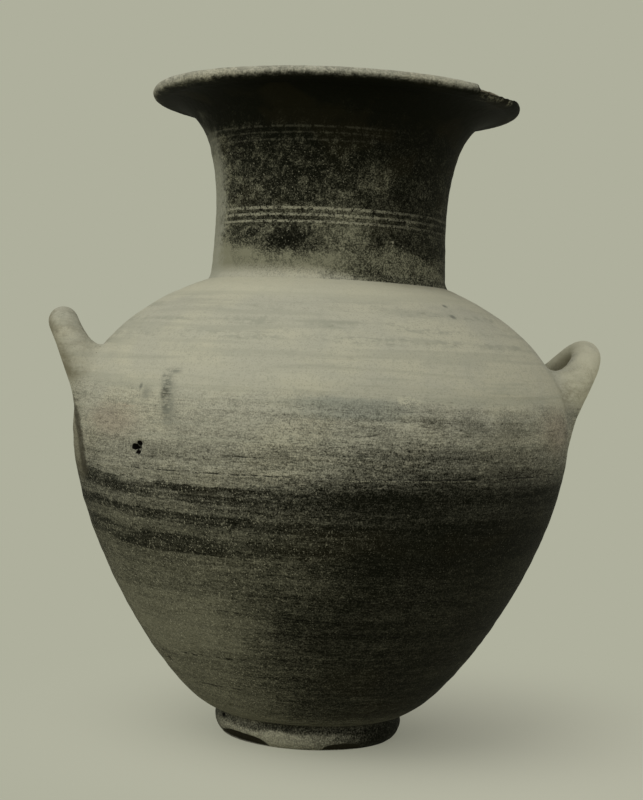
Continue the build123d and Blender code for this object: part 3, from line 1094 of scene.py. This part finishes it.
def foot_finish():
    """Dark slip on the upper half, rubbed pale towards the ground, painted shade in the flakes and
    a pit.
    """
    finish = Finish("foot_clay_and_slip", FOOT_NOISES)
    place, z, left, outside = finish.place, finish.z, finish.leftness, finish.outside
    broken, crumbs = place.mark("broken"), finish.crumbs
    colour, height = fired_clay(finish)
    fray = (finish.waves - 0.5) * 8.0
    rubbed = (z + fray).step(18.5, 12.5)
    front = (finish.frontness * 0.9 + left * 0.5 + (place.noise(40) - 0.5) * 0.3).step(0.35, 0.95)
    look = 0.14 + left.step(-0.7, 0.2) * 0.16 + left.step(-0.2, 0.4) * 0.2
    look = look - left.step(0.45, 0.98) * 0.14 + rubbed * front * 0.38
    cove = 0.2 + left.step(-0.75, -0.1) * 0.12 + left.step(0.5, 0.72) * 0.2
    cove = cove - left.step(0.75, 0.95) * 0.12
    look = look + (cove - look) * (z + fray * 0.5).step(15.0, 19.5)
    grit = (finish.specks - 0.5) * 2.3 + (crumbs - 0.5) * 1.1
    bare = worn_through(look | (1.0 - outside), grit)
    colour = outside.over(colour, FOOT_FILM)
    colour = (1.0 - bare).over(colour, SLIP)
    # Painted shade in the flakes
    colour = (broken * (crumbs * 0.6 + broken * 0.4).step(0.3, 0.5)).over(colour, FLAKE_SHADE)
    # Painted shade in the pit by the foot
    colour = place.spot(on_jar(-71.0, 87.2, 19.4), (3.5, 5.5, 2.6)).over(colour, PIT_SHADE_BLACK)
    height = height + finish.specks * 0.3 + crumbs * 0.4 + broken * crumbs * 1.4
    return finish.close(colour, bare, height)


def make_foot(finish):
    bore_edge = FOOT_BORE_RADIUS + FOOT_BORE_TAPER
    ground_edge = FOOT_CONTACT_RADIUS - FOOT_GROUND_WIDTH
    bulge = (FOOT_CONTACT_RADIUS + FOOT_BULGE, FOOT_BULGE_HEIGHT)
    side = arc((FOOT_CONTACT_RADIUS, 0), bulge, (FOOT_TOP_RADIUS, FOOT_TOP))
    side = side[side[:, 1] < FOOT_TOP - FOOT_COVE_FALL]
    cove_edge = (FOOT_TOP_RADIUS + FOOT_COVE_RUN, FOOT_TOP + FOOT_COVE_RISE)
    rows = outline(
        (side, 0.9, OUTER),
        (curve(side[-1], (FOOT_TOP_RADIUS, FOOT_TOP), cove_edge), 0.9, OUTER),
        (curve(cove_edge, (FOOT_BORE_RADIUS, FOOT_TOP)), 5, HIDDEN),
        (curve((FOOT_BORE_RADIUS, FOOT_TOP), (bore_edge, FOOT_EDGE_ROUND)), 1.8, INNER),
        (curve((bore_edge, FOOT_EDGE_ROUND), (ground_edge, 0)), 1.2, INNER),
        (curve((ground_edge, 0), (FOOT_CONTACT_RADIUS, 0)), 1.4, HIDDEN),
    )
    turned(
        "foot_ring_clay", rows, FOOT_SEGMENTS, "foot_ring", finish, flaked_foot
    )


def make_lower_body(finish):
    inner = (
        (BELLY_RADIUS - BODY_WALL, BELLY_HEIGHT),
        (BELLY_RADIUS - BODY_WALL, BELLY_HEIGHT - CAVITY_FULLNESS),
        (FLOOR_RADIUS + FLOOR_SPREAD, FOOT_TOP + FLOOR_THICKNESS),
        (FLOOR_RADIUS, FOOT_TOP + FLOOR_THICKNESS),
    )
    rows = outline(
        (curve((0, FOOT_TOP), (BASE_RADIUS, FOOT_TOP)), 9, HIDDEN),
        (curve(*LOWER_SIDE), 2.6, OUTER),
        (curve(LOWER_SIDE[-1], inner[0]), 5, HIDDEN),
        (curve(*inner), 11, INNER),
        (curve(inner[-1], (0, FOOT_TOP + FLOOR_THICKNESS)), 10, INNER),
    )
    turned(
        "lower_body_wall", rows, BODY_SEGMENTS, "lower_body", finish, smear_onto_body
    )


def make_upper_body(finish):
    bore = NECK_WAIST - NECK_WALL
    side = shoulder(BELLY_RADIUS, SHOULDER_RISE, NECK_WAIST + NECK_BASE_SPREAD)
    ceiling = shoulder(BELLY_RADIUS - BODY_WALL, SHOULDER_RISE - BODY_WALL, bore)[::-1]
    rows = outline(
        (side, 2.3, OUTER),
        (curve(side[-1], (bore, NECK_SEAT)), 4, HIDDEN),
        (curve((bore, NECK_SEAT), ceiling[0]), 3, INNER),
        (ceiling, 7, INNER),
        (curve(ceiling[-1], side[0]), 5, HIDDEN),
    )
    turned(
        "upper_body_wall", rows, BODY_SEGMENTS, "upper_body", finish, smear_onto_body
    )


def split(path, height, upper):
    """The part of a rising or falling path above or below a height, cut exactly there."""
    rising = path if path[-1, 1] > path[0, 1] else path[::-1]
    radius = np.interp(height, rising[:, 1], rising[:, 0])
    kept = rising[rising[:, 1] > height] if upper else rising[rising[:, 1] < height]
    cut = np.array([[radius, height]])
    kept = np.concatenate([cut, kept] if upper else [kept, cut])
    return kept if rising is path else kept[::-1]


def make_neck_and_rim(finish):
    bore = NECK_WAIST - NECK_WALL
    waist = NECK_SEAT + STEM_RISE
    under = JAR_HEIGHT - LIP_THICKNESS
    base = NECK_WAIST + NECK_BASE_SPREAD
    cove_edge = (base + COVE_RUN, NECK_SEAT - COVE_DROP)
    ledge_end = (base, NECK_SEAT + NECK_LEDGE_FALL)
    flare = curve(
        (NECK_WAIST, waist),
        (NECK_WAIST, waist + FLARE_LIFT),
        (LIP_UNDER_RADIUS - LIP_UNDER_RUN, under),
        (LIP_UNDER_RADIUS, under),
    )
    lip_inner = (LIP_UNDER_RADIUS - LIP_INNER_RUN, JAR_HEIGHT - LIP_INNER_DROP)
    throat = curve(
        lip_inner,
        (lip_inner[0] - THROAT_RUN, lip_inner[1]),
        (bore, waist + THROAT_LIFT),
        (bore, waist),
    )
    neck_flare, rim_flare = split(flare, RIM_JOINT, False), split(flare, RIM_JOINT, True)
    neck_throat, rim_throat = split(throat, RIM_JOINT, False), split(throat, RIM_JOINT, True)
    neck_rows = outline(
        (curve((bore, NECK_SEAT), cove_edge), 4, HIDDEN),
        (curve(cove_edge, (base + NECK_LEDGE, NECK_SEAT), ledge_end), 1.2, OUTER),
        (curve(ledge_end, (NECK_WAIST, waist)), 1.8, OUTER),
        (neck_flare, 1.8, OUTER),
        (curve(neck_flare[-1], neck_throat[0]), 4, HIDDEN),
        (neck_throat, 4, INNER),
        (curve((bore, waist), (bore, NECK_SEAT)), 5, INNER),
    )
    corner = (LIP_UNDER_RADIUS + LIP_CORNER_RUN, JAR_HEIGHT - LIP_CORNER_DROP)
    edge = (LIP_EDGE_RADIUS, JAR_HEIGHT - LIP_EDGE_DROP)
    top = (LIP_UNDER_RADIUS + LIP_TOP_RUN, JAR_HEIGHT)
    rim_rows = outline(
        (rim_flare, 1.6, OUTER),
        (curve((LIP_UNDER_RADIUS, under), corner), 1.2, OUTER),
        (arc(corner, edge, top), 0.9, OUTER),
        (curve(top, lip_inner), 1.1, OUTER),
        (rim_throat, 2.4, INNER),
        (curve(rim_throat[-1], rim_flare[0]), 4, HIDDEN),
    )
    turned("neck_wall", neck_rows, NECK_SEGMENTS, "neck", finish)
    turned("flared_rim", rim_rows, RIM_SEGMENTS, "rim", finish, broken_lip)


# Light, floor and camera; places are in metres
BACKDROP = tone(175, 176, 157)
FLOOR = tone(205, 203, 184)
FLOOR_ROUGHNESS = 0.95
FLOOR_GLOSS = 0.1
FLOOR_HALF = 6.0
FADE_MIDDLE = (0.12, 0.01, 0)
FLOOR_FADE = (0.0, 0.5)
NEAR_FADE = 0.32
AMBIENT = 0.62
MIDDLE_HEIGHT = 0.3

# Bearing, elevation, distance, size and power of each soft lamp
LAMPS = (
    ("top_softbox", -35, 62, 2.2, 1.6, 18),
    ("left_softbox", -80, 20, 2.2, 1.5, 6),
    ("front_softbox", -30, 25, 2.6, 1.4, 5),
)

CAMERA_DISTANCE = 1.5108
CAMERA_BEARING = -8.0
CAMERA_HEIGHT = 0.3473
CAMERA_ROLL = 2.72
CAMERA_LENS = 71.6
CAMERA_SHIFT = (-0.0031, -0.0449)


def seen_directly(wire):
    """1 for rays from the camera and for what gloss and glass mirror, 0 for light."""
    path = wire.node("ShaderNodeLightPath", {}, {}).socket.node.outputs
    return greatest(Wire(path[f"Is {kind} Ray"]) for kind in ("Camera", "Glossy", "Transmission"))


def mix_surface(share, first, second, end):
    """Sends the first shader to the tree's end, and the second by its share."""
    shaders = {0: share, 1: Wire(first.outputs[0]), 2: Wire(second.outputs[0])}
    blend = share.node("ShaderNodeMixShader", {}, shaders)
    tree = share.socket.id_data
    tree.links.new(blend.socket, tree.nodes[end].inputs["Surface"])


def make_floor():
    """Wide pale floor whose far part takes the backdrop's own colour."""
    mesh = bpy.data.meshes.new("floor")
    sides = ((-1, -1), (1, -1), (1, 1), (-1, 1))
    mesh.from_pydata([(x * FLOOR_HALF, y * FLOOR_HALF, 0) for x, y in sides], [], [(0, 1, 2, 3)])
    finish = bpy.data.materials.new("floor_paper")
    finish.use_nodes = True
    tree = finish.node_tree
    shader = tree.nodes["Principled BSDF"]
    shader.inputs["Base Color"].default_value = FLOOR
    shader.inputs["Roughness"].default_value = FLOOR_ROUGHNESS
    shader.inputs["Specular IOR Level"].default_value = FLOOR_GLOSS
    glow = tree.nodes.new("ShaderNodeEmission")
    glow.inputs["Color"].default_value = BACKDROP
    place = Wire(tree.nodes.new("ShaderNodeTexCoord").outputs["Object"])
    away = place.vector("SUBTRACT", FADE_MIDDLE).vector("LENGTH", output=1)
    far = away.step(*FLOOR_FADE) * (1 - NEAR_FADE) + NEAR_FADE
    mix_surface(far * seen_directly(place), shader, glow, "Material Output")
    mesh.materials.append(finish)
    floor = put_in_scene("floor", mesh)


def make_world():
    world = bpy.data.worlds.new("studio")
    world.use_nodes = True
    bpy.context.scene.world = world
    tree = world.node_tree
    dim = tree.nodes["Background"]
    dim.inputs["Color"].default_value = (1, 1, 1, 1)
    dim.inputs["Strength"].default_value = AMBIENT
    shown = tree.nodes.new("ShaderNodeBackground")
    shown.inputs["Color"].default_value = BACKDROP
    mix_surface(seen_directly(Wire(dim.outputs[0])), dim, shown, "World Output")


def make_lamps():
    for name, bearing, elevation, distance, size, power in LAMPS:
        light = bpy.data.lights.new(name, "AREA")
        light.shape = "DISK"
        light.size = size
        light.energy = power
        put_in_scene(name, light).matrix_world = (
            Matrix.Translation((0, 0, MIDDLE_HEIGHT))
            @ Matrix.Rotation(radians(bearing), 4, "Z")
            @ Matrix.Rotation(radians(90 - elevation), 4, "X")
            @ Matrix.Translation((0, 0, distance))
        )


def make_camera():
    """Camera looking level at the axis, then rolled so that the jar leans as the picture has it."""
    data = bpy.data.cameras.new("camera")
    data.lens = CAMERA_LENS
    data.shift_x, data.shift_y = CAMERA_SHIFT
    camera = put_in_scene("camera", data)
    camera.matrix_world = (
        Matrix.Rotation(radians(CAMERA_BEARING), 4, "Z")
        @ Matrix.Translation((0, -CAMERA_DISTANCE, CAMERA_HEIGHT))
        @ Matrix.Rotation(pi / 2, 4, "X")
        @ Matrix.Rotation(radians(CAMERA_ROLL), 4, "Z")
    )
    bpy.context.scene.camera = camera


body = body_finish()
neck = neck_finish()
make_foot(foot_finish())
make_lower_body(body)
make_upper_body(body)
make_neck_and_rim(neck)
handle("handle_left", LEFT_LOOP, body)
handle("handle_right", RIGHT_LOOP, body)
make_floor()
make_world()
make_lamps()
make_camera()
bpy.context.scene.view_settings.view_transform = "Standard"
